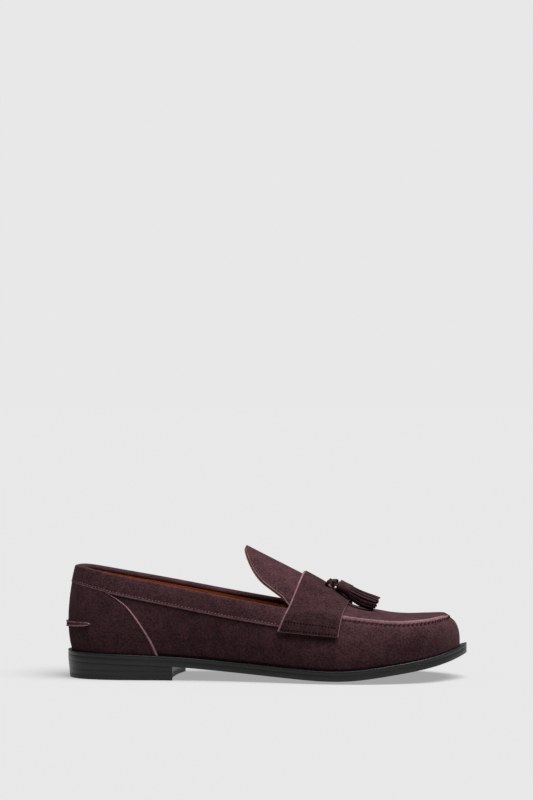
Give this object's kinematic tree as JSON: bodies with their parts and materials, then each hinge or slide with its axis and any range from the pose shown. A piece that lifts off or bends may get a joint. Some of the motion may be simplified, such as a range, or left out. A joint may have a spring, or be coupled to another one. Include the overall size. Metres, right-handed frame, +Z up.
{
  "type": "tasselled penny loafer",
  "caption": "Right-foot slip-on suede loafer with a raised apron seam, a wide slotted strap over the instep, paired tassels, a high round tongue and a low stacked heel.",
  "frame": {"origin": "on the floor, under the middle of the shoe's length and width", "axes": "+X to the toe, +Y to the medial side of the right foot, +Z up"},
  "size_m": [0.2726, 0.096, 0.0888],
  "materials": {
    "suede": "dark burgundy calf suede, fine matt nap, paler raw edges",
    "lining_calf": "tan vegetable-tanned calf lining, satin",
    "tassel_leather": "dark burgundy leather, raw edges",
    "black_leather": "black stained and waxed leather edge",
    "black_rubber": "black rubber, matt",
    "insole_board": "natural insole leather",
    "cork": "pressed cork",
    "stiffener": "resin-stiffened felt",
    "steel": "plain spring steel",
    "thread": "waxed polyester thread, burgundy"
  },
  "bodies": {
    "root": {"heel_top_piece": "black_rubber", "heel_lift_lower": "black_leather", "heel_lift_upper": "black_leather", "heel_nail_1": "steel", "heel_nail_2": "steel", "heel_nail_3": "steel", "heel_nail_4": "steel", "heel_nail_5": "steel", "outsole": "black_leather", "welt": "black_leather", "cork_filler": "cork", "steel_shank": "steel", "insole_board": "insole_board", "heel_cushion": "stiffener", "sock_lining": "lining_calf", "vamp_and_quarters": "suede", "quarter_lining": "lining_calf", "vamp_lining": "lining_calf", "heel_counter": "stiffener", "toe_puff": "stiffener", "counter_cover": "suede", "collar_strip": "suede", "heel_tab": "suede", "apron": "suede", "apron_lining": "lining_calf", "apron_thread": "thread", "strap_backing": "suede", "strap": "suede", "tassel_thong": "tassel_leather"},
    "tongue": {"tongue": "suede", "tongue_lining": "lining_calf"},
    "lateral_knot": {"lateral_tassel_knot": "tassel_leather"},
    "lateral_tassel": {"lateral_tassel_cap": "tassel_leather", "lateral_tassel_fringe": "tassel_leather"},
    "medial_knot": {"medial_tassel_knot": "tassel_leather"},
    "medial_tassel": {"medial_tassel_cap": "tassel_leather", "medial_tassel_fringe": "tassel_leather"}
  },
  "joints": [
    {"name": "tongue_flex", "type": "hinge", "parent": "root", "child": "tongue", "pos_m": [0.0248, 0, 0.06983], "axis": [0, 1, 0], "range_deg": [0, 20], "stiffness_Nm_per_rad": 0.1},
    {"name": "lateral_tassel_swing", "type": "hinge", "parent": "root", "child": "lateral_knot", "pos_m": [0.04263, -0.007, 0.06556], "axis": [-0.4465, 0, -0.8948], "range_deg": [-3, 35]},
    {"name": "lateral_tassel_lift", "type": "hinge", "parent": "lateral_knot", "child": "lateral_tassel", "pos_m": [0.04656, -0.007, 0.06359], "axis": [0, -1, 0], "range_deg": [0, 90]},
    {"name": "medial_tassel_swing", "type": "hinge", "parent": "root", "child": "medial_knot", "pos_m": [0.04263, 0.007, 0.06556], "axis": [0.4465, 0, 0.8948], "range_deg": [-3, 35]},
    {"name": "medial_tassel_lift", "type": "hinge", "parent": "medial_knot", "child": "medial_tassel", "pos_m": [0.04656, 0.007, 0.06359], "axis": [0, -1, 0], "range_deg": [0, 90]}
  ]
}
